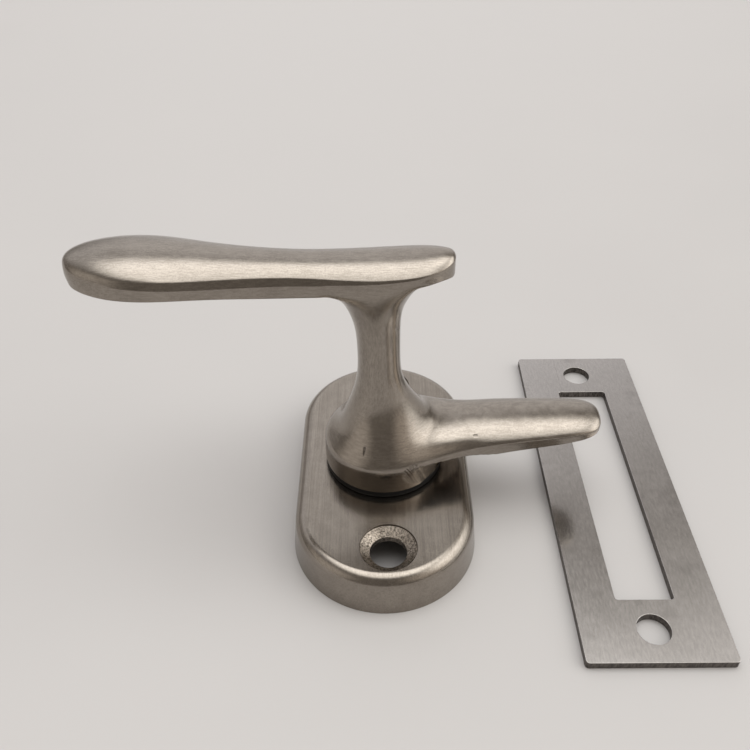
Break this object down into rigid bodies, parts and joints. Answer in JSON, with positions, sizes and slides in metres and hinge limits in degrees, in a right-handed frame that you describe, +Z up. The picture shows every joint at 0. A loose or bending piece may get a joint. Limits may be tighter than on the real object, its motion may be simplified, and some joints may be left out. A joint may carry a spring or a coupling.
{
  "type": "casement window fastener",
  "caption": "Satin metal casement window fastener: a pivoting lever with handle, stem and nose on a round-ended backplate, with a separate slotted strike plate.",
  "frame": {"origin": "on the seating plane, under the middle of the whole object's box; the pivot axis stands at X -2.35 mm, Y +3.05 mm", "axes": "+Z up from the seating plane along the pivot, +X from the handle's tip towards the nose and the strike plate, Y along the backplate and the strike plate"},
  "size_m": [0.0953, 0.069, 0.0485],
  "materials": {
    "satin_nickel": "satin, finely brushed",
    "plain_steel": "plain bright zinc-plated",
    "black_nylon": "moulded, matt",
    "ivory_acetal": "turned, matt"
  },
  "bodies": {
    "backplate": {"backplate": "satin_nickel", "pivot_bush": "ivory_acetal", "boss_washer": "black_nylon"},
    "lever": {"lever": "satin_nickel", "wave_washer": "plain_steel", "retaining_washer": "plain_steel", "retaining_screw": "plain_steel"},
    "strike": {"strike_plate": "satin_nickel"}
  },
  "joints": [
    {"name": "lever_turn", "type": "hinge", "parent": "backplate", "child": "lever", "pos_m": [-0.0027, 0.00155, 0.0083], "axis": [0, 0, 1], "range_deg": [-90, 90]},
    {"name": "strike_slide", "type": "slide", "parent": "backplate", "child": "strike", "axis": [1, 0, 0], "range_m": [0, 0.06]}
  ]
}
